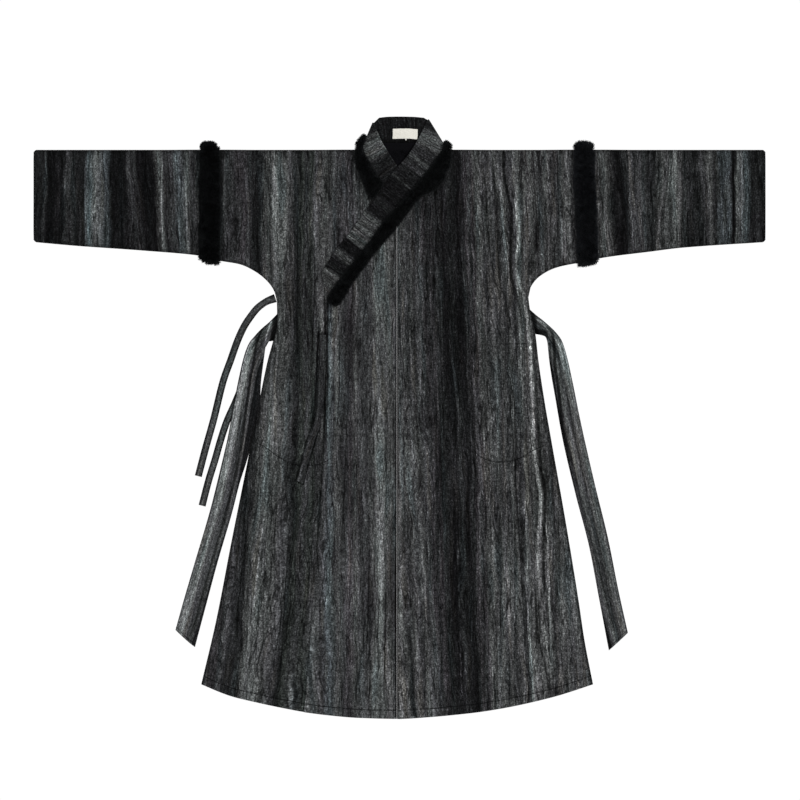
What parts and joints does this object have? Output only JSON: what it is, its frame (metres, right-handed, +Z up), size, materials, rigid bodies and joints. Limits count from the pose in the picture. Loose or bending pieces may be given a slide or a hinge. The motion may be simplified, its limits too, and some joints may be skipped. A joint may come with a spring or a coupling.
{
  "type": "hanfu robe",
  "caption": "Cross-collared long robe of striped wool laid flat, with fur bands on sleeves and collar, side sashes and narrow ties.",
  "frame": {"origin": "middle of the bounding box's bottom face, on the surface the robe lies on", "axes": "+X across the robe to the wearer's left, cuff to cuff; +Y up towards the collar; +Z up from the surface, out of the front"},
  "size_m": [1.5374, 1.2645, 0.024],
  "materials": {
    "striped_wool": "matte napped wool with streaky stripes",
    "striped_wool_band": "matte napped wool, stripes across",
    "fur": "deep short pile",
    "lining": "matte",
    "label": "satin, blank"
  },
  "bodies": {
    "root": {"body_right": "striped_wool", "body_left": "striped_wool", "overlap_gore": "striped_wool", "underlap_gore": "striped_wool", "sleeve_right": "striped_wool", "sleeve_left": "striped_wool", "sleeve_fur_right": "fur", "sleeve_fur_left": "fur", "collar": "striped_wool_band", "collar_fur": "fur", "neck_lining": "lining", "label": "label", "sash_right": "striped_wool_band", "sash_left": "striped_wool_band", "tie_side_upper": "striped_wool_band", "tie_side_lower": "striped_wool_band", "tie_front": "striped_wool_band"}
  },
  "joints": []
}
